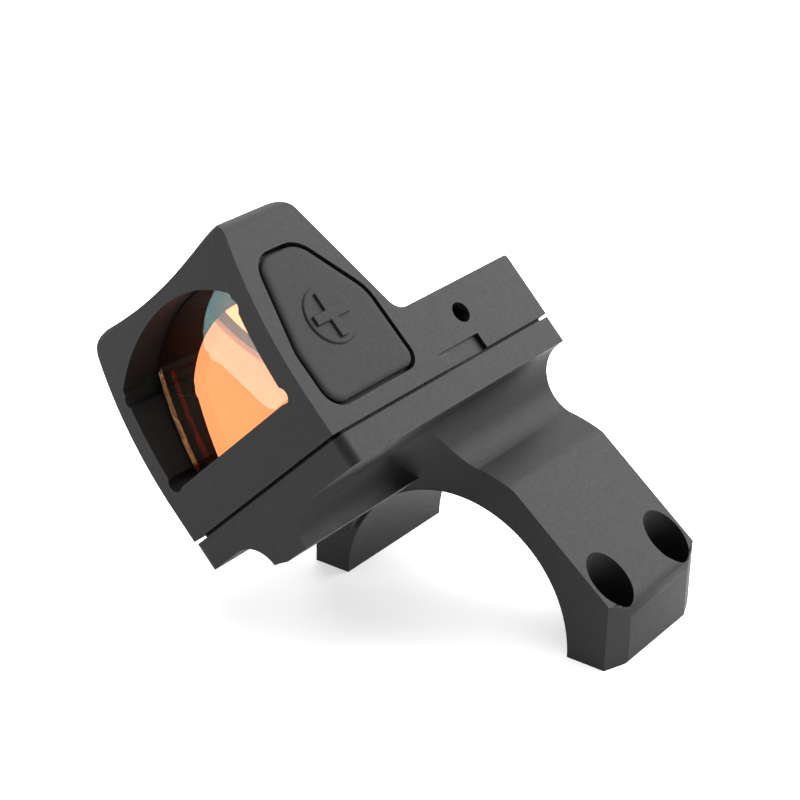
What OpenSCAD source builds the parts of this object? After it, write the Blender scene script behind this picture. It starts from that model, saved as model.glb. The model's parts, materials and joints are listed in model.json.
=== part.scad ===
// Reflex red dot sight on a 45 degree offset scope ring cap, in millimetres.
// The origin is on the scope tube's axis, at the middle of the ring's width, in
// the plane where the ring splits. +Y runs rearward along the tube, towards the
// user's eye, and +Z points up out of the cap. The sight's own frame is tilted:
// p runs across it (plus is the user's left), q rearward and r upward, with the
// zero in the middle of the seam under the sight.

/* [Tube clamp] */
// Diameter of the scope tube that the ring clamps
tube_d = 34; // [33.8:0.1:34.2]
// Width of the ring along the tube
ring_w = 21; // [20:0.5:22]
// Wall thickness of the ring
ring_wall = 4.85; // [4.5:0.05:5]
// Half the width over the two feet
foot_reach = 23.7; // [23.5:0.1:24.5]
// Distance of the cap screws from the tube's axis
screw_reach = 20.3; // [20.2:0.1:20.4]
// Distance between two cap screws along the tube
screw_pitch = 13.8; // [12:0.2:14]
// Radius of a cap screw's clearance hole
screw_hole_r = 2.15; // [2:0.05:2.3]
// Radius of a cap screw's head recess
screw_head_r = 3.05; // [2.8:0.05:3.1]

/* [Platform] */
// Tilt of the sight to the user's side
tilt = 45; // [45:1:45]
// Height of the seam under the sight above the tube's axis, along the tilt
sight_rise = 25; // [24.9:0.1:26]
// Offset of the sight across the tilt
sight_shift = 8.3; // [8.1:0.1:8.5]
// Distance of the sight's middle in front of the ring's middle
sight_forward = 12; // [12:0.1:12]
// Width of the platform
plate_w = 31; // [30.5:0.1:31.5]
// Thickness of the platform's wings
plate_t = 3.75; // [3.65:0.05:3.85]
// Gap between sight and platform, which the sealing plate fills
seal_t = 0.45; // [0.4:0.05:0.5]

/* [Sight] */
// Length of the sight
sight_l = 45; // [45:1:45]
// Width of the sight
sight_w = 30; // [30:0.1:30.4]
// Height of the rear deck
deck_h = 9.55; // [9.5:0.05:9.7]
// Height of the hood at the bottom of its concave top
hood_h = 27.3; // [27:0.1:28]
// Radius of the hood's curved front face
front_r = 66; // [64:1:68]
// Half the width of the window
window_half = 12.3; // [12.1:0.1:12.4]
// Height of the window's sill
sill_h = 6.6; // [6.5:0.1:6.7]
// Radius of the window's arched top
window_arch_r = 18.8; // [18.6:0.1:19]

/* [Lens] */
// Backward lean of the lens
lens_lean = 17; // [15:1:18]
// Radius of the lens's front surface
lens_r = 60; // [55:1:70]
// Thickness of the lens
lens_t = 2.2; // [2:0.1:2.4]
// Width of the bond line around the lens
bond_w = 0.3; // [0.25:0.05:0.4]

/* [Controls] */
// How far a brightness button's face stands proud of the side
button_proud = 0.15; // [0.1:0.05:0.3]
// Radius of an adjuster screw's head
adjuster_r = 3; // [2.9:0.05:3.05]
// Travel of the emitter each way, under either adjuster
emitter_travel = 0.4; // [0.3:0.05:0.4]

/* [Hidden] */
fine = 96;
eps = 0.01;
gap = 0.04;           // running clearance of the pieces that slide or turn
// tube clamp
bore_r = tube_d / 2;
ring_r = bore_r + ring_wall;
foot_top = 8.04;      // height of the foot's outer corner
foot_slope = 0.785;   // fall of the foot's top face
foot_apex = foot_top + foot_slope * foot_reach;   // where that face would meet the middle
shoulder_x = 8.1;     // where the foot's top face meets the ring's arc
chamfer_x = 1.35;     // corner chamfers of the feet
chamfer_y = 3.5;
head_seat = 5.5;      // height of the cap screws' head recess
// platform
half_l = sight_l / 2;
seat_r = 0.3;         // the sight's bottom face
plate_top = seat_r - seal_t;
plate_low = plate_top - plate_t;
ring_front = sight_forward - ring_w / 2;   // the ring's front face, in q
// the sight's zero, in x and z
sight_at = [
    sight_shift * cos(tilt) - sight_rise * sin(tilt),
    sight_shift * sin(tilt) + sight_rise * cos(tilt)
];
near_fillet_r = 5.35;
near_fillet = [13.8, plate_low - near_fillet_r];
front_fillet_r = 9.4;
tube_clear_r = bore_r + 0.5;
keel = [-5.2, 1.1];   // the keel's sides
keel_low = -8.35;
keel_fillet_r = 4.15;
tube_axis = [-sight_shift, -sight_rise];   // in p and r
// mounting hardware
mount_at = [10.5, 12.6];
mount_shank_r = 1.75;
mount_head_r = 2.7;
mount_seat = 7;
mount_tip = plate_low + 0.1;
post_at = [11.6, -18.4];
post_r = 1.5;
post_rise = 1.6;
post_root = -2.8;
// sight
side = sight_w / 2;
front_low = 5;        // below this height the front face is upright
bay_at = -8.6;        // middle of the battery bay, in q
bay_r = 10.3;
bay_top = 5.6;
well_half = 6.2;      // half the width of the adjusters' well
well_front = 4.8;
well_rear = 18.5;
well_top = 7.6;
low_top = 6.9;        // the well's lower roof under the elevation screw
low_front = 11.35;
window_p = -0.35;     // middle of the window, in p
pocket_floor = 13.5;  // floor of the button pockets, in p
groove = 0.5;         // gap around a button
button_in = 14.35;    // a button's inner face, in p
dome_at = [-11.9, 12.75];
symbol_r = 3.75;
symbol_arm = 3.1;     // half the length of the symbol's bars
symbol_half = 0.7;    // half their width
elevation_q = 14.3;
windage_at = [8.5, 5.7];
screw_seat = 7.9;     // under the elevation screw's head
head_top = 9.35;
windage_seat = 13.6;
plug_p = 9.1;         // inner end of the return spring's plug, in p
plug_r = 1.4;
ball_r = 0.65;        // detent balls, which click on the heads' rims
ball_at = adjuster_r + ball_r + 0.02;
spring_at = ball_at + ball_r + 0.02;
detent_reach = [6.3, 8];   // depth of the detent pockets from the screws' axes
detent_h = 8.3;
detent_p = -13.95;
seal_at = 0.75;       // place of the seal groove on an adjuster's head
trough = [-3.5, 4.0]; // light trough in the deck, in q
trough_half = 2.4;
trough_floor = 6.6;
lens_mid = [-17.6, 15.6];   // the lens's front vertex, in q and r
// button outline: circles in q and r with their radii, anticlockwise
BUTTON = [
    [-17.2, 5.5, 3.0], [-5.2, 4.75, 2.2], [-9.0, 12.0, 5.75],
    [-11.6, 18.6, 4.3], [-14.5, 19.4, 3.5], [-14.3, 9.8, 6.0]
];

// ---------------------------------------------------------------- functions
function flat(v) = [v.x, v.y];
function unit(v) = v / norm(v);
// the arc that rounds corner b of the outline a, b, c
function corner(a, b, c, r, n) =
    r == 0 ? [b] :
    let (
        u = unit(a - b), v = unit(c - b),
        half = acos(max(-1, min(1, u * v))) / 2,
        m = b + unit(u + v) * r / sin(half),
        s = b + u * r / tan(half) - m,
        e = b + v * r / tan(half) - m,
        from = atan2(s.y, s.x),
        sweep = (atan2(e.y, e.x) - from + 540) % 360 - 180
    )
    [for (i = [0:n]) m + r * [cos(from + sweep * i / n), sin(from + sweep * i / n)]];
// an outline whose points [x, y, radius] have rounded corners
function rounded(pts, n = 8) =
    let (k = len(pts))
    [for (i = [0:k - 1])
        each corner(flat(pts[(i + k - 1) % k]), flat(pts[i]), flat(pts[(i + 1) % k]), pts[i][2], n)];
function box(x0, y0, x1, y1, r) = [[x0, y0, r], [x1, y0, r], [x1, y1, r], [x0, y1, r]];
// the angle of the outer normal of the tangent from circle a to circle b
function tangent(a, b) =
    let (d = flat(b) - flat(a))
    atan2(d.y, d.x) - acos((a[2] - b[2]) / norm(d));
// the taut outline around a ring of circles, each shrunk by inset
function belt(c, inset, step = 12) =
    let (k = len(c))
    [for (i = [0:k - 1])
        let (
            from = tangent(c[(i + k - 1) % k], c[i]),
            sweep = (tangent(c[i], c[(i + 1) % k]) - from + 720) % 360,
            n = max(1, ceil(sweep / step)), r = c[i][2] - inset
        )
        for (j = [0:n]) flat(c[i]) + r * [cos(from + sweep * j / n), sin(from + sweep * j / n)]];
function front_q(r) = -half_l + front_r - sqrt(pow(front_r, 2) - pow(max(r - front_low, 0), 2));

// ------------------------------------------------------------------ helpers
// places its children in the sight's frame
module in_sight() {
    translate([sight_at.x, -sight_forward, sight_at.y]) rotate([0, -tilt, 0]) children();
}
// an outline in p and r, swept from q0 to q1
module along_q(q0, q1) {
    translate([0, q1, 0]) rotate([90, 0, 0]) linear_extrude(q1 - q0) children();
}
// an outline in q and r, swept from p0 to p1
module along_p(p0, p1) {
    translate([p0, 0, 0]) rotate([90, 0, 90]) linear_extrude(p1 - p0) children();
}
// an outline in p and q, swept from r0 to r1
module along_r(r0, r1) {
    translate([0, 0, r0]) linear_extrude(r1 - r0) children();
}
module rod_p(p0, p1, r, q, height) {
    translate([p0, q, height]) rotate([0, 90, 0]) cylinder(h = p1 - p0, r = r, $fn = fine);
}
module rod_q(q0, q1, r, p, height) {
    translate([p, q0, height]) rotate([-90, 0, 0]) cylinder(h = q1 - q0, r = r, $fn = fine);
}
module rod_r(r0, r1, r, p, q) {
    translate([p, q, r0]) cylinder(h = r1 - r0, r = r, $fn = fine);
}
module block(a, b) {
    translate(a) cube(b - a);
}
// both sides of the sight
module both() {
    children();
    mirror([1, 0, 0]) children();
}
// a coil spring along +Z from the zero
module coil(r, wire_r, turns, length, sides = 8, per_turn = 14) {
    rings = turns * per_turn;
    points = [for (i = [0:rings]) let (
            a = 360 * i / per_turn,
            z = wire_r + (length - 2 * wire_r) * i / rings
        )
        for (j = [0:sides - 1]) let (b = 360 * j / sides)
            [(r + wire_r * cos(b)) * cos(a), (r + wire_r * cos(b)) * sin(a), z + wire_r * sin(b)]];
    walls = [for (i = [0:rings - 1]) for (j = [0:sides - 1]) let (k = (j + 1) % sides)
        [i * sides + j, (i + 1) * sides + j, (i + 1) * sides + k, i * sides + k]];
    caps = [[for (j = [0:sides - 1]) j], [for (j = [sides - 1:-1:0]) rings * sides + j]];
    polyhedron(points, concat(walls, caps), convexity = 10);
}

// --------------------------------------------------------------- ring cap
// one foot of the clamp, on the +X side
module foot_outline() {
    polygon(rounded([
        [bore_r - 3, 0, 0], [foot_reach, 0, 0.3], [foot_reach, foot_top, 3],
        [shoulder_x, foot_apex - foot_slope * shoulder_x, 0], [6, 14, 0]
    ]));
}
// the solid between the ring and the platform, in p and r
module web_outline() {
    difference() {
        polygon([
            [near_fillet.x, plate_low + 1], near_fillet,
            tube_axis + ring_r * unit(near_fillet - tube_axis), tube_axis,
            [-plate_w / 2 + 1, plate_low - 5], [-plate_w / 2 + 1, plate_low + 1]
        ]);
        translate(near_fillet) circle(r = near_fillet_r, $fn = fine);
    }
}
module ring_band() {
    translate([0, ring_w / 2, 0]) rotate([90, 0, 0]) linear_extrude(ring_w) {
        intersection() {
            circle(r = ring_r, $fn = 2 * fine);
            polygon([[-foot_apex / foot_slope, 0], [foot_apex / foot_slope, 0], [0, foot_apex]]);
        }
        foot_outline();
        mirror([1, 0]) foot_outline();
        translate(sight_at) rotate(tilt) web_outline();
    }
}
// the curved gusset from the platform's underside to the ring's front face
module front_gusset() {
    low = plate_low - front_fillet_r;
    intersection() {
        along_q(ring_front - front_fillet_r, ring_front + eps) web_outline();
        difference() {
            block([-plate_w / 2, ring_front - front_fillet_r, low], [plate_w / 2, ring_front + 1, plate_top]);
            rod_p(-plate_w, plate_w, front_fillet_r, ring_front - front_fillet_r, low);
        }
    }
}
module platform_keel() {
    along_q(-half_l, ring_front + eps) difference() {
        translate([keel[0] - keel_fillet_r, keel_low])
            square([keel[1] - keel[0] + 2 * keel_fillet_r, plate_low + 1 - keel_low]);
        for (x = [keel[0] - keel_fillet_r, keel[1] + keel_fillet_r])
            translate([x, plate_low - keel_fillet_r]) circle(r = keel_fillet_r, $fn = fine);
        for (x = [keel[0] - keel_fillet_r - eps, keel[1]])
            translate([x, keel_low - 1])
                square([keel_fillet_r + eps, plate_low - keel_fillet_r - keel_low + 1]);
    }
}
module ring_cap() {
    color("#3c3d3f") difference() {
        union() {
            ring_band();
            in_sight() {
                along_r(plate_low, plate_top)
                    polygon(rounded(box(-plate_w / 2, -half_l, plate_w / 2, half_l, 1.3)));
                front_gusset();
                platform_keel();
            }
        }
        // the clamp's bore, and a little more room in front of the ring
        rotate([90, 0, 0]) cylinder(h = 3 * ring_w, r = bore_r, center = true, $fn = 2 * fine);
        translate([0, -ring_w / 2, 0]) rotate([90, 0, 0])
            cylinder(h = 2 * ring_w, r = tube_clear_r, $fn = 2 * fine);
        translate([-50, -50, -20]) cube([100, 100, 20]);
        // cap screws, whose head recesses run on up through the platform
        for (x = [-screw_reach, screw_reach]) for (y = [-screw_pitch / 2, screw_pitch / 2]) {
            translate([x, y, -1]) cylinder(h = head_seat + 2, r = screw_hole_r, $fn = fine);
            translate([x, y, head_seat]) cylinder(h = 40, r = screw_head_r, $fn = fine);
        }
        // corner chamfers of the feet
        for (i = [0, 1]) for (j = [0, 1]) mirror([i, 0, 0]) mirror([0, j, 0])
            translate([0, 0, -1]) linear_extrude(foot_top + 2) polygon([
                [foot_reach - chamfer_x, ring_w / 2], [foot_reach - chamfer_x, ring_w / 2 + 1],
                [foot_reach + 1, ring_w / 2 + 1], [foot_reach + 1, ring_w / 2 - chamfer_y],
                [foot_reach, ring_w / 2 - chamfer_y]
            ]);
        in_sight() both() {
            rod_r(mount_tip - 0.1 + eps, 1, mount_shank_r, mount_at.x, mount_at.y);
            rod_r(post_root, 1, post_r, post_at.x, post_at.y);
        }
    }
}
module locating_posts() {
    color("#9a9c9e") in_sight() both() rod_r(post_root, post_rise, post_r, post_at.x, post_at.y);
}
module mounting_screws() {
    color("#1d1d1e") in_sight() both() difference() {
        union() {
            rod_r(mount_tip, mount_seat + eps, mount_shank_r, mount_at.x, mount_at.y);
            rod_r(mount_seat, mount_seat + 1.8, mount_head_r - 0.05, mount_at.x, mount_at.y);
        }
        translate([mount_at.x, mount_at.y, mount_seat + 0.8]) cylinder(h = 2, r = 1.3, $fn = 6);
    }
}
module sealing_plate() {
    color("#2a2a2b") in_sight() difference() {
        along_r(plate_top, seat_r) polygon(rounded(box(-14.5, -21.5, 14.5, 22, 1.2)));
        both() {
            rod_r(-1, 1, mount_shank_r + 0.15, mount_at.x, mount_at.y);
            rod_r(-1, 1, post_r + 0.15, post_at.x, post_at.y);
        }
    }
}
// the seal's outline around battery bay and well, grown by grow
module seal_outline(grow) {
    translate([0, bay_at]) circle(r = bay_r + grow, $fn = fine);
    translate([-well_half - grow, bay_at]) square([2 * (well_half + grow), well_rear + grow - bay_at]);
}
module seal_band() {
    difference() {
        seal_outline(1.6);
        seal_outline(0.8);
    }
}
module battery_gasket() {
    color("#171717") in_sight() along_r(seat_r, seat_r + 0.6) seal_band();
}

// ---------------------------------------------------------------- housing
module side_outline() {
    top = hood_h + 1.3;
    polygon(rounded(concat(
        [
            [-half_l, seat_r, 0], [half_l, seat_r, 0], [half_l, deck_h, 0.5], [-1.1, deck_h, 2.2],
            [-6.8, top, 3.2], [front_q(top), top, 1.6]
        ],
        [for (r = [25.5:-1.5:front_low]) [front_q(r), r, 0]]
    )));
}
function hood_top(p) = hood_h + p * p / 124;
module hood_outline() {
    polygon(rounded(concat(
        [[-side, 0, 0], [side, 0, 0], [side, hood_top(side), 2.2]],
        [for (p = [11.5:-1:-11.5]) [p, hood_top(p), 0]],
        [[-side, hood_top(side), 2.2]]
    )));
}
// the window's opening without its corner reliefs, shrunk by inset
module window_outline(inset = 0) {
    translate([window_p, sill_h]) intersection() {
        circle(r = window_arch_r - inset, $fn = 2 * fine);
        translate([inset - window_half, inset]) square([2 * (window_half - inset), window_arch_r]);
    }
}
module window_reliefs() {
    for (x = [-1, 1]) {
        translate([window_p + x * (window_half - 0.55), sill_h + 0.85]) circle(r = 1.1, $fn = 48);
        translate([window_p + x * (window_half - 0.7), sill_h + 12.6]) circle(r = 1.15, $fn = 48);
    }
}
// the way through the hood, whose floor ramps up to the deck behind the lens
module window_tunnel() {
    difference() {
        along_q(-half_l - 5, 12) {
            window_outline();
            window_reliefs();
        }
        along_p(-side, side) polygon([
            [-15, 0], [-15, sill_h], [-1.1, deck_h], [side, deck_h], [side, 0]
        ]);
    }
}
// the slab that the lens is cut from, leaning back with a curved front and rear
module lens_slab() {
    translate([0, lens_mid.x, lens_mid.y]) rotate([-lens_lean, 0, 0]) translate([0, lens_r, 0])
        difference() {
            sphere(r = lens_r, $fn = 2 * fine);
            sphere(r = lens_r - lens_t, $fn = 2 * fine);
            translate([-2 * lens_r, -lens_r / 2, -2 * lens_r]) cube(4 * lens_r);
        }
}
module button_pocket() {
    along_p(pocket_floor, side + 1) polygon(belt(BUTTON, 0));
}
module internal_space() {
    // battery bay, with a shelf for the circuit board and a pocket for its chip
    rod_r(-1, bay_top, bay_r, 0, bay_at);
    block([-well_half, -2, -1], [well_half, well_front + eps, bay_top]);
    block([-3.2, -12.6, 5], [3.2, -6.6, 6.4]);
    // the adjusters' well
    block([-well_half, well_front, -1], [well_half, low_front, well_top]);
    block([-well_half, low_front - eps, -1], [well_half, well_rear, low_top]);
    // the light's way out to the trough, and the trough in the deck
    block([-1.6, trough[1] - 0.5, trough_floor], [1.6, well_front + 1, well_top]);
    block([-trough_half, trough[0], trough_floor], [trough_half, trough[1], deck_h + 1]);
}
module adjuster_holes() {
    // elevation screw, from the deck
    rod_r(screw_seat, deck_h + 1, adjuster_r + gap, 0, elevation_q);
    rod_r(low_top - 1, screw_seat + 1, 1 + gap, 0, elevation_q);
    // windage screw, from the right side
    rod_p(-side - 1, -windage_seat, adjuster_r + gap, windage_at.x, windage_at.y);
    rod_p(-windage_seat - 1, -well_half + 1, 0.8 + gap, windage_at.x, windage_at.y);
    // the hole opposite, which takes the return spring and its plug
    rod_p(well_half - 1, plug_p + eps, 1, windage_at.x, windage_at.y);
    rod_p(plug_p, side + 1, plug_r, windage_at.x, windage_at.y);
    // detent pockets behind the two heads
    rod_q(elevation_q, elevation_q + detent_reach[0], ball_r + 0.05, 0, detent_h);
    rod_q(windage_at.x, windage_at.x + detent_reach[1], ball_r + 0.05, detent_p, windage_at.y);
}
module housing() {
    color("#343536") in_sight() difference() {
        intersection() {
            along_p(-side, side) side_outline();
            along_q(-half_l, half_l) hood_outline();
        }
        window_tunnel();
        both() button_pocket();
        internal_space();
        adjuster_holes();
        both() {
            rod_r(-1, deck_h + 1, mount_shank_r + 0.1, mount_at.x, mount_at.y);
            rod_r(mount_seat, deck_h + 1, mount_head_r, mount_at.x, mount_at.y);
            rod_r(-1, post_rise + 0.2, post_r + 0.06, post_at.x, post_at.y);
        }
        // groove for the gasket
        along_r(seat_r - 1, seat_r + 0.6) seal_band();
        // tapered pry notch at the left side's bottom edge
        along_r(-1, 2.45)
            polygon([[side + 1, 0.35], [side - 0.2, 0.35], [side - 0.6, 8.9], [side + 1, 8.9]]);
        // index notches around the elevation screw
        for (a = [0:30:330]) translate([0, elevation_q, deck_h]) rotate([0, 0, a])
            block([-0.12, adjuster_r + 0.5, -0.15], [0.12, adjuster_r + 1.2, 1]);
    }
}
module lens() {
    color("#e08a5a", 0.6) in_sight() intersection() {
        along_q(-half_l, 0) window_outline(bond_w);
        lens_slab();
    }
}
module lens_bond() {
    color("#101010") in_sight() intersection() {
        along_q(-half_l, 0) difference() {
            window_outline();
            window_outline(bond_w);
        }
        lens_slab();
    }
}

// --------------------------------------------------------------- controls
// a rubber button on the plus side, with its raised disc
module button() {
    face = side + button_proud;
    along_p(button_in, face - 0.35) polygon(belt(BUTTON, groove));
    along_p(face - 0.36, face) polygon(belt(BUTTON, groove + 0.45));
    rod_p(side, face + 0.2, symbol_r, dome_at.x, dome_at.y);
    symbol_bar(0);
}
// one bar of the symbol, along q, turned by angle
module symbol_bar(angle) {
    translate([0, dome_at.x, dome_at.y]) rotate([angle, 0, 0]) along_p(side, side + button_proud + 0.55)
        polygon(rounded(box(-symbol_arm, -symbol_half, symbol_arm, symbol_half, 0.5), 5));
}
module left_button() {
    color("#2e2f30") in_sight() {
        button();
        symbol_bar(90);
    }
}
module right_button() {
    color("#2e2f30") in_sight() mirror([1, 0, 0]) button();
}
module switch_dome() {
    rod_p(pocket_floor, pocket_floor + 0.15, 2.6, dome_at.x, dome_at.y);
    rod_p(pocket_floor, pocket_floor + 0.4, 1.6, dome_at.x, dome_at.y);
}
module left_switch_dome() {
    color("#c9c9c4") in_sight() switch_dome();
}
module right_switch_dome() {
    color("#c9c9c4") in_sight() mirror([1, 0, 0]) switch_dome();
}

// -------------------------------------------------------------- electronics
module circuit_board() {
    color("#1f6b3a") in_sight() {
        rod_r(4.7, 5.3, 9.8, 0, bay_at);
        block([-4, -1, 4.7], [4, 1.35, 5.3]);
    }
}
module controller_chip() {
    color("#151515") in_sight() block([-2.5, -12.1, 5.3], [2.5, -7.1, 6.1]);
}
module battery() {
    color("#c8c8c8") in_sight() {
        rod_r(0.9, 3.9, 10, 0, bay_at);
        rod_r(3.9 - eps, 4.1, 8.6, 0, bay_at);
    }
}
module centre_contact() {
    color("#d8b45a") in_sight() {
        rod_r(4.1, 4.7, 1.2, 0, bay_at);
        rod_r(4.5, 4.7, 3.2, 0, bay_at);
    }
}
module rim_contact() {
    color("#d8b45a") in_sight() {
        block([-1.5, 1.4, 1.6], [1.5, 1.6, 5.5]);
        block([-1.5, 0.4, 5.3], [1.5, 1.6, 5.5]);
    }
}
module emitter_flex() {
    color("#b86b1e") in_sight() {
        block([2.6, -0.5, 5.3], [3.8, 5.07, 5.42]);
        block([-0.6, 4.2, 5.3], [3.8, 5.07, 5.42]);
        block([-0.6, 4.95, 5.3], [0.6, 5.07, 6]);
    }
}

// -------------------------------------------------------------- adjusters
module elevation_block() {
    color("#8c8f92") in_sight() difference() {
        union() {
            block([-well_half + 0.1, 11.3, 2.2], [well_half - 0.1, 17.4, 5.8]);
            block([-4.4, 10, 3.9], [4.4, 11.3 + eps, 5]);
        }
        rod_r(0, 8, 1 + gap, 0, elevation_q);
    }
}
module emitter_carriage() {
    slot_half = 0.8 + gap;
    color("#6f7275") in_sight() difference() {
        block([-3.2, 5.7, 3.2], [3.2, 11.2, 6.9]);
        // slot for the windage screw, open upward so the carriage can rise
        rod_p(-4, 2.4, slot_half, windage_at.x, windage_at.y - emitter_travel - gap);
        block([-4, windage_at.x - slot_half, windage_at.y - emitter_travel - gap],
              [2.4, windage_at.x + slot_half, 8]);
        // groove for the elevation block's tongue
        block([-4, 10 - gap, 3.9 - gap], [4, 12, 5 + gap]);
    }
}
module led_emitter() {
    color("#e8e2c8") in_sight() {
        block([-0.9, 5.5, 6.1], [0.9, 5.7, 6.9]);
        block([-0.4, 5.2, 6.2], [0.4, 5.5 + eps, 6.8]);
    }
}
module emitter_window() {
    color("#b8d8e8", 0.5) in_sight()
        block([-2.2, trough[1] - 0.5, trough_floor], [2.2, trough[1], trough_floor + 1.6]);
}
// a slotted adjuster: the head's underside at the zero, the shank down to -length
module adjuster(length, shank_r, head_t, clip_at) {
    difference() {
        union() {
            cylinder(h = head_t, r = adjuster_r, $fn = fine);
            translate([0, 0, -length]) cylinder(h = length + eps, r = shank_r, $fn = fine);
        }
        translate([-2.3, -0.45, head_t - 0.7]) cube([4.6, 0.9, 1]);
        // seal groove in the head and clip groove in the shank
        translate([0, 0, seal_at]) difference() {
            cylinder(h = 0.4, r = adjuster_r + 1, $fn = fine);
            translate([0, 0, -1]) cylinder(h = 3, r = adjuster_r - 0.4, $fn = fine);
        }
        translate([0, 0, -clip_at - 0.3]) difference() {
            cylinder(h = 0.3, r = shank_r + 1, $fn = fine);
            translate([0, 0, -1]) cylinder(h = 3, r = shank_r - 0.25, $fn = fine);
        }
    }
}
module at_elevation() {
    in_sight() translate([0, elevation_q, screw_seat]) children();
}
module at_windage() {
    in_sight() translate([-windage_seat, windage_at.x, windage_at.y]) rotate([0, -90, 0]) children();
}
module elevation_screw() {
    color("#2b2b2c") at_elevation() adjuster(screw_seat - 0.6, 1, head_top - screw_seat, 1.05);
}
module windage_screw() {
    color("#2b2b2c") at_windage() adjuster(windage_seat + 1.8, 0.8, 1.3, 7.5);
}
module head_seal() {
    translate([0, 0, seal_at]) difference() {
        cylinder(h = 0.4, r = adjuster_r + 0.02, $fn = fine);
        translate([0, 0, -1]) cylinder(h = 3, r = adjuster_r - 0.4, $fn = fine);
    }
}
module elevation_seal() {
    color("#111111") at_elevation() head_seal();
}
module windage_seal() {
    color("#111111") at_windage() head_seal();
}
// a flat E-shaped clip that sits in a shank's groove below the wall
module clip(shank_r, depth) {
    translate([0, 0, -depth - 0.3]) difference() {
        cylinder(h = 0.3, r = shank_r + 0.7, $fn = fine);
        translate([0, 0, -1]) cylinder(h = 3, r = shank_r - 0.25, $fn = fine);
        translate([-0.5, 0, -1]) cube([1, 5, 3]);
    }
}
module elevation_clip() {
    color("#b0b0b0") at_elevation() clip(1, 1.05);
}
module windage_clip() {
    color("#b0b0b0") at_windage() clip(0.8, 7.5);
}
module detent_balls() {
    color("#c8c8c8") in_sight() {
        translate([0, elevation_q + ball_at, detent_h]) sphere(r = ball_r, $fn = 32);
        translate([detent_p, windage_at.x + ball_at, windage_at.y]) sphere(r = ball_r, $fn = 32);
    }
}
module detent_springs() {
    color("#a8a8a8") in_sight() {
        translate([0, elevation_q + spring_at, detent_h]) rotate([-90, 0, 0])
            coil(0.45, 0.12, 4, detent_reach[0] - spring_at);
        translate([detent_p, windage_at.x + spring_at, windage_at.y]) rotate([-90, 0, 0])
            coil(0.45, 0.12, 6, detent_reach[1] - spring_at);
    }
}
module return_spring() {
    color("#a8a8a8") in_sight() translate([3.8, windage_at.x, windage_at.y]) rotate([0, 90, 0])
        coil(0.7, 0.14, 8, 5.2);
}
module side_plug() {
    color("#202020") in_sight() difference() {
        rod_p(plug_p, plug_p + 2.5, plug_r - 0.03, windage_at.x, windage_at.y);
        translate([plug_p + 1.5, windage_at.x, windage_at.y]) rotate([0, 90, 0])
            cylinder(h = 2, r = 0.7, $fn = 6);
    }
}

ring_cap();
locating_posts();
mounting_screws();
sealing_plate();
battery_gasket();
housing();
lens();
lens_bond();
left_button();
right_button();
left_switch_dome();
right_switch_dome();
circuit_board();
controller_chip();
battery();
centre_contact();
rim_contact();
emitter_flex();
elevation_block();
emitter_carriage();
led_emitter();
emitter_window();
elevation_screw();
windage_screw();
elevation_seal();
windage_seal();
elevation_clip();
windage_clip();
detent_balls();
detent_springs();
return_spring();
side_plug();
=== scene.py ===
"""Looks of the reflex sight and its ring cap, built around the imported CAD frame.

The sight has its own tilted frame: p runs to the user's left, q rearward and r upward, in millimetres,
with the zero in the middle of the seam under the sight.
"""

import json
import math

import bmesh
import bpy
from mathutils import Matrix, Vector


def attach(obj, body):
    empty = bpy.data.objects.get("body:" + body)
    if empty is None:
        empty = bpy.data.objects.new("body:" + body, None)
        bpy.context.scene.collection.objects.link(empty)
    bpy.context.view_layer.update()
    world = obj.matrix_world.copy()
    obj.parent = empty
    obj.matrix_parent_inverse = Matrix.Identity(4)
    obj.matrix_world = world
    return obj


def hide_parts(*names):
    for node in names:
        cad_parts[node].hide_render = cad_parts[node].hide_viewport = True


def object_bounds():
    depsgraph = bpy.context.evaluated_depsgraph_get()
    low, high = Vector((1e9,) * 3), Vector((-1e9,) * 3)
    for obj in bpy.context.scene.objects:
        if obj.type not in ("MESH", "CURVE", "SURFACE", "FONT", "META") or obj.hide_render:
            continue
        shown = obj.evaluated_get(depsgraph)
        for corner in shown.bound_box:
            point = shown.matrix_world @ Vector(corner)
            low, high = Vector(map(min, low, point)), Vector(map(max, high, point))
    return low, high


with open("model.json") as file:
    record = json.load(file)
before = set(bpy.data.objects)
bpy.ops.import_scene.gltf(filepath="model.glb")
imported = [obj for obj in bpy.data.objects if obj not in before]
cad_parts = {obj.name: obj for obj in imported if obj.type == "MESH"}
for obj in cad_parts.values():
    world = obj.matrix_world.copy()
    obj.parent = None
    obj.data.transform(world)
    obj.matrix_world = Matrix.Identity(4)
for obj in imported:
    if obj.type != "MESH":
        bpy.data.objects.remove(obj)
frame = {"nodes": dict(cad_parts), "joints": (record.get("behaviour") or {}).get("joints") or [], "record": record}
cad_low, cad_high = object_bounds()

MM = 0.001
nodes = frame["nodes"]
joints = {j["name"]: j for j in frame["joints"]}

# The sight's axes and zero, from the joints of its elevation screw and left button
LEFT = -Vector(joints["left_button_press"]["axis"])
REAR = Vector((0, 1, 0))
UP = Vector(joints["elevation_turn"]["axis"])
ELEVATION_AT = (14.3, 8.6)      # q and r of the elevation screw's joint
SIGHT_ZERO = Vector(joints["elevation_turn"]["pos_m"]) - MM * (ELEVATION_AT[0] * REAR + ELEVATION_AT[1] * UP)


def sight(p, q, r):
    """A point of the sight's frame, in millimetres, as a point in metres."""
    return SIGHT_ZERO + MM * (p * LEFT + q * REAR + r * UP)


# ---------------------------------------------------------------- camera
CAM_AZIMUTH, CAM_ELEVATION, CAM_ROLL = 35.42, 25.41, 1.3    # degrees
CAM_LENS, CAM_SENSOR = 95.65, 36            # focal length and sensor width, in millimetres
CAM_CLIP = (0.01, 20)                       # metres
CAM_OFFSET = (3.04, 3.40, -267.29)          # from the sight's zero: right, up and forward, in millimetres


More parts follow.
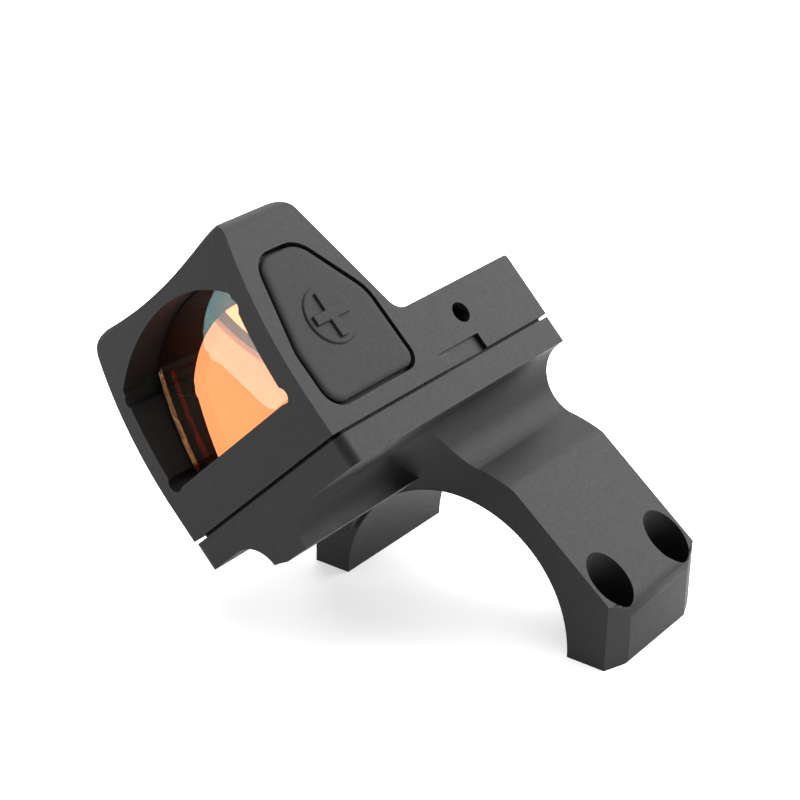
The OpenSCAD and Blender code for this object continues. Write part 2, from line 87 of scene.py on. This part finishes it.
def make_camera():
    a, e, roll = (math.radians(x) for x in (CAM_AZIMUTH, CAM_ELEVATION, CAM_ROLL))
    forward = Vector((-math.sin(a) * math.cos(e), math.cos(a) * math.cos(e), -math.sin(e)))
    level = Vector((math.cos(a), math.sin(a), 0))
    upright = level.cross(forward)
    right = math.cos(roll) * level + math.sin(roll) * upright
    up = math.cos(roll) * upright - math.sin(roll) * level
    data = bpy.data.cameras.new("camera")
    data.lens, data.sensor_width = CAM_LENS, CAM_SENSOR
    data.clip_start, data.clip_end = CAM_CLIP
    camera = bpy.data.objects.new("camera", data)
    bpy.context.scene.collection.objects.link(camera)
    turn = Matrix((right, up, -forward)).transposed().to_4x4()
    place = SIGHT_ZERO + MM * (CAM_OFFSET[0] * right + CAM_OFFSET[1] * up + CAM_OFFSET[2] * forward)
    camera.matrix_world = Matrix.Translation(place) @ turn
    bpy.context.scene.camera = camera


# ------------------------------------------------------------ stage and light
FLOOR_SIZE = 6                              # metres
FLOOR_COLOUR = (0.9, 0.9, 0.9, 1)
FLOOR_ROUGHNESS = 0.8
FLOOR_GLOW = 0.5                            # brings the floor up to white
WORLD_COLOUR = (1, 0.985, 0.97, 1)
WORLD_STRENGTH = 0.26
# The softboxes: name, direction from the object's middle, distance and size in metres, power in watts
LIGHTS = [
    ("key_behind_right", (0.43, 0.74, 0.6), 1.0, 0.9, 19),
    ("top", (-0.1, 0.1, 1), 1.2, 1.2, 15),
    ("behind_left", (-0.52, 0.74, 0.5), 1.2, 0.8, 7),
    ("front_left", (-0.8, -0.62, 0.25), 1.2, 0.5, 2.5),
]


def area_light(name, toward, distance, size, power):
    """A square softbox in the direction toward from the object's middle, facing it."""
    data = bpy.data.lights.new(name, "AREA")
    data.shape, data.size, data.energy = "SQUARE", size, power
    light = bpy.data.objects.new(name, data)
    bpy.context.scene.collection.objects.link(light)
    way = Vector(toward).normalized()
    light.location = (cad_low + cad_high) / 2 + distance * way
    light.rotation_mode = "QUATERNION"
    light.rotation_quaternion = way.to_track_quat("Z", "Y")


def make_stage():
    """The floor, the world, the lights and plain colours."""
    bpy.ops.mesh.primitive_plane_add(size=FLOOR_SIZE, location=(0, 0, cad_low.z))
    floor = bpy.context.object
    floor.name = "floor"
    material, _, shader = new_material("floor_white")
    shader.inputs["Base Color"].default_value = FLOOR_COLOUR
    shader.inputs["Roughness"].default_value = FLOOR_ROUGHNESS
    shader.inputs["Emission Color"].default_value = (1, 1, 1, 1)
    shader.inputs["Emission Strength"].default_value = FLOOR_GLOW
    floor.data.materials.append(material)
    world = bpy.data.worlds.new("world")
    bpy.context.scene.world = world
    world.use_nodes = True
    background = world.node_tree.nodes["Background"]
    background.inputs["Color"].default_value = WORLD_COLOUR
    background.inputs["Strength"].default_value = WORLD_STRENGTH
    for light in LIGHTS:
        area_light(*light)
    view = bpy.context.scene.view_settings
    view.view_transform = "Standard"
    view.look = "None"


# ---------------------------------------------------------------- materials
BUMP_DEPTH = 0.00003            # metres
MATTE_SPECULAR = 0.2
MATTE_DETAIL = 2                # octaves of the noise
MATTE_SPREAD, METAL_SPREAD = 0.06, 0.12     # how much the roughness varies
METAL_DARK, PLASTIC_DARK = 0.82, 0.8        # the darkest grains' share of the colour
METAL_GRAIN = 1200              # grains per metre, as are the next two
PLASTIC_GRAIN = 900
PLASTIC_BUMPS = 4000
PLASTIC_EDGE = 0.35             # where its grain's blend starts
GLASS_COLOUR = (0.5, 0.92, 0.95, 1)         # what the lens lets through
GLASS_IOR = 1.45
COATING_COLOUR = (0.85, 0.26, 0.095, 1)     # what the lens's coating mirrors
COATING_ROUGHNESS = 0.01
COATING_SHARE = 0.66                        # how much of the light it mirrors


def new_material(name):
    material = bpy.data.materials.new(name)
    material.use_nodes = True
    return material, material.node_tree, material.node_tree.nodes["Principled BSDF"]


def node(tree, kind, **values):
    """A shader node with its inputs set by name, with _ for a space."""
    made = tree.nodes.new(kind)
    for key, value in values.items():
        made.inputs[key.replace("_", " ")].default_value = value
    return made


def grey(value):
    return value, value, value


def grain(tree, scale, detail=3):
    """Noise over the object's own coordinates."""
    coordinates = tree.nodes.new("ShaderNodeTexCoord")
    noise = node(tree, "ShaderNodeTexNoise", Scale=scale, Detail=detail)
    tree.links.new(coordinates.outputs["Object"], noise.inputs["Vector"])
    return noise.outputs["Fac"]


def vary(tree, socket, noise, first, last, edge=0.3):
    """Blends a socket from the first colour to the last as the noise goes from edge to 1 - edge."""
    made = tree.nodes.new("ShaderNodeValToRGB")
    tree.links.new(noise, made.inputs["Fac"])
    for element, place, colour in zip(made.color_ramp.elements, (edge, 1 - edge), (first, last)):
        element.position = place
        element.color = (*colour, 1)
    tree.links.new(made.outputs["Color"], socket)


def bump(tree, shader, heights, strength):
    made = node(tree, "ShaderNodeBump", Strength=strength, Distance=BUMP_DEPTH)
    tree.links.new(heights, made.inputs["Height"])
    tree.links.new(made.outputs["Normal"], shader.inputs["Normal"])


def matte(name, dark, light, roughness, scale):
    """A matte black finish with a fine, even grain."""
    material, tree, shader = new_material(name)
    vary(tree, shader.inputs["Base Color"], grain(tree, scale, MATTE_DETAIL), grey(dark), grey(light))
    vary(tree, shader.inputs["Roughness"], grain(tree, 0.6 * scale, MATTE_DETAIL),
         grey(roughness), grey(roughness + MATTE_SPREAD))
    shader.inputs["Specular IOR Level"].default_value = MATTE_SPECULAR
    bump(tree, shader, grain(tree, 1.5 * scale, MATTE_DETAIL), 0.25)
    return material


def metal(name, colour, roughness):
    """A metal with slightly uneven colour and polish."""
    material, tree, shader = new_material(name)
    shader.inputs["Metallic"].default_value = 1
    vary(tree, shader.inputs["Base Color"], grain(tree, METAL_GRAIN), [METAL_DARK * c for c in colour], colour)
    vary(tree, shader.inputs["Roughness"], grain(tree, 1.7 * METAL_GRAIN),
         grey(roughness), grey(roughness + METAL_SPREAD))
    bump(tree, shader, grain(tree, 3 * METAL_GRAIN), 0.15)
    return material


def plastic(name, colour, roughness=0.45):
    """A plastic with slightly uneven colour."""
    material, tree, shader = new_material(name)
    vary(tree, shader.inputs["Base Color"], grain(tree, PLASTIC_GRAIN), [PLASTIC_DARK * c for c in colour],
         colour, PLASTIC_EDGE)
    shader.inputs["Roughness"].default_value = roughness
    bump(tree, shader, grain(tree, PLASTIC_BUMPS), 0.1)
    return material


def coated_glass(name):
    """Glass whose coating mirrors orange, the same all over, and lets blue-green through."""
    material, tree, shader = new_material(name)
    shader.inputs["Base Color"].default_value = GLASS_COLOUR
    shader.inputs["Transmission Weight"].default_value = 1
    shader.inputs["Roughness"].default_value = 0
    shader.inputs["IOR"].default_value = GLASS_IOR
    mirror = node(tree, "ShaderNodeBsdfGlossy", Roughness=COATING_ROUGHNESS, Color=COATING_COLOUR)
    mix = node(tree, "ShaderNodeMixShader", Fac=COATING_SHARE)
    tree.links.new(shader.outputs[0], mix.inputs[1])
    tree.links.new(mirror.outputs[0], mix.inputs[2])
    tree.links.new(mix.outputs[0], tree.nodes["Material Output"].inputs["Surface"])
    return material


# Each material slot's maker, with the values it is given after the name
FINISHES = {
    "anodised_aluminium": (matte, 0.0100, 0.0125, 0.52, 3200),
    "button_rubber": (matte, 0.0120, 0.0145, 0.6, 4200),
    # The seal under the sight is black rubber, made darker than the buttons' rubber: painted shade in the seam
    # between sight and platform
    "seal_rubber": (matte, 0.004, 0.006, 0.6, 4200),
    "black_steel": (metal, (0.008, 0.008, 0.009), 0.5),
    "steel": (metal, (0.55, 0.55, 0.54), 0.25),
    "coated_glass": (coated_glass,),
    "clear_glass": (plastic, (0.6, 0.7, 0.75), 0.08),
    "board_green": (plastic, (0.02, 0.14, 0.05)),
    "chip_black": (plastic, (0.015, 0.015, 0.016)),
    "gilt_bronze": (metal, (0.85, 0.6, 0.25), 0.25),
    "flex_amber": (plastic, (0.5, 0.2, 0.03), 0.3),
    "machined_aluminium": (metal, (0.6, 0.61, 0.62), 0.3),
    "led_body": (plastic, (0.8, 0.76, 0.6), 0.25),
}


def dress_nodes(materials):
    """Gives each CAD node its slot's material."""
    for row in frame["record"]["subparts"]:
        shown = nodes[row["node"]]
        shown.data.materials.clear()
        shown.data.materials.append(materials[row["material_slot"]])


# ---------------------------------------------------------------- soft edges
WELD_DISTANCE = 0.000002        # metres
FLAT_ANGLE = 0.6                # degrees between faces that are joined
SOFT_WIDTH, SOFT_ANGLE, SOFT_SEGMENTS = 0.25, 32, 2     # millimetres and degrees
PAD_WIDTH, PAD_ANGLE, PAD_SEGMENTS = 0.14, 50, 3


def add_bevel(shown, width, angle, segments):
    """Rounds the edges that turn more than angle, and keeps the flat faces' shading flat."""
    bevel = shown.modifiers.new("bevel", "BEVEL")
    bevel.width, bevel.segments = width * MM, segments
    bevel.limit_method, bevel.angle_limit = "ANGLE", math.radians(angle)
    shade = shown.modifiers.new("shade", "WEIGHTED_NORMAL")
    shade.mode, shade.weight = "FACE_AREA", 100
    for face in shown.data.polygons:
        face.use_smooth = True


def soften(name):
    """Rounds a CAD node's machined edges: its flat faces are joined first, so that the bevel runs clean."""
    shown = nodes[name]
    weld = shown.modifiers.new("weld", "WELD")
    weld.merge_threshold = WELD_DISTANCE
    flat = shown.modifiers.new("flat", "DECIMATE")
    flat.decimate_type, flat.angle_limit = "DISSOLVE", math.radians(FLAT_ANGLE)
    add_bevel(shown, SOFT_WIDTH, SOFT_ANGLE, SOFT_SEGMENTS)


# -------------------------------------------------------------------- buttons
# The button's outline: circles in q and r with their radii, anticlockwise, as in the CAD
BUTTON = [(-17.2, 5.5, 3.0), (-5.2, 4.75, 2.2), (-9.0, 12.0, 5.75), (-11.6, 18.6, 4.3), (-14.5, 19.4, 3.5),
          (-14.3, 9.8, 6.0)]
ARC_STEP = math.radians(5)      # the most between two points of an arc
# The pad's rounded edge, as inset from the outline and p
PAD = [(0.50, 14.35), (0.50, 14.70), (0.54, 14.84), (0.64, 14.96), (0.80, 15.05), (1.02, 15.11), (1.30, 15.14),
       (1.80, 15.15)]
DISC = [(3.85, 15.0), (3.85, 15.22), (3.76, 15.32), (3.58, 15.36)]  # radius and p
DISC_POINTS = 64
SYMBOL_AT = (-11.9, 12.75)      # q and r of the middle of disc and symbol
SYMBOL_FOOT, SYMBOL_TOP = 15.2, 15.68       # p
ARM, HALF = 3.05, 0.66          # half the length and half the width of a symbol's bar
MINUS = [(-ARM, -HALF), (ARM, -HALF), (ARM, HALF), (-ARM, HALF)]
PLUS = [(-ARM, -HALF), (-HALF, -HALF), (-HALF, -ARM), (HALF, -ARM), (HALF, -HALF), (ARM, -HALF),
        (ARM, HALF), (HALF, HALF), (HALF, ARM), (-HALF, ARM), (-HALF, HALF), (-ARM, HALF)]


def tangent(a, b):
    """The angle of the outer normal of the tangent from circle a to circle b."""
    q, r = b[0] - a[0], b[1] - a[1]
    return math.atan2(r, q) - math.acos((a[2] - b[2]) / math.hypot(q, r))


def belt(inset):
    """The taut outline around the button's circles, each shrunk by inset, as points in q and r."""
    points = []
    for i, (q, r, radius) in enumerate(BUTTON):
        start = tangent(BUTTON[i - 1], BUTTON[i])
        sweep = (tangent(BUTTON[i], BUTTON[(i + 1) % len(BUTTON)]) - start) % math.tau
        count = max(1, math.ceil(sweep / ARC_STEP))
        for j in range(count + 1):
            a = start + sweep * j / count
            points.append((q + (radius - inset) * math.cos(a), r + (radius - inset) * math.sin(a)))
    return points


def stack(mesh, rings):
    """Joins rings of points, from the lowest up, and closes both ends."""
    made = [[mesh.verts.new(point) for point in ring] for ring in rings]
    count = len(made[0])
    for below, above in zip(made, made[1:]):
        for i in range(count):
            j = (i + 1) % count
            mesh.faces.new((below[i], below[j], above[j], above[i]))
    mesh.faces.new(made[0])
    mesh.faces.new(made[-1])


def make_button(name, way, symbol, material):
    """The rubber pad on one side (way 1 is the left), with a soft edge, a raised disc and a raised symbol."""
    mesh = bmesh.new()
    stack(mesh, [[sight(way * p, q, r) for q, r in belt(inset)] for inset, p in PAD])
    at_q, at_r = SYMBOL_AT
    turns = [math.tau * i / DISC_POINTS for i in range(DISC_POINTS)]
    stack(mesh, [[sight(way * p, at_q + radius * math.cos(a), at_r + radius * math.sin(a)) for a in turns]
                 for radius, p in DISC])
    stack(mesh, [[sight(way * p, at_q + q, at_r + r) for q, r in symbol] for p in (SYMBOL_FOOT, SYMBOL_TOP)])
    bmesh.ops.recalc_face_normals(mesh, faces=mesh.faces)
    data = bpy.data.meshes.new(name + "_pad")
    mesh.to_mesh(data)
    mesh.free()
    data.materials.append(material)
    pad = bpy.data.objects.new(name + "_pad", data)
    bpy.context.scene.collection.objects.link(pad)
    add_bevel(pad, PAD_WIDTH, PAD_ANGLE, PAD_SEGMENTS)
    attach(pad, name)
    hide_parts(name)


make_camera()
make_stage()
materials = {slot: make(slot, *values) for slot, (make, *values) in FINISHES.items()}
dress_nodes(materials)
soften("housing")
soften("ring_cap")
make_button("left_button", 1, PLUS, materials["button_rubber"])
make_button("right_button", -1, MINUS, materials["button_rubber"])
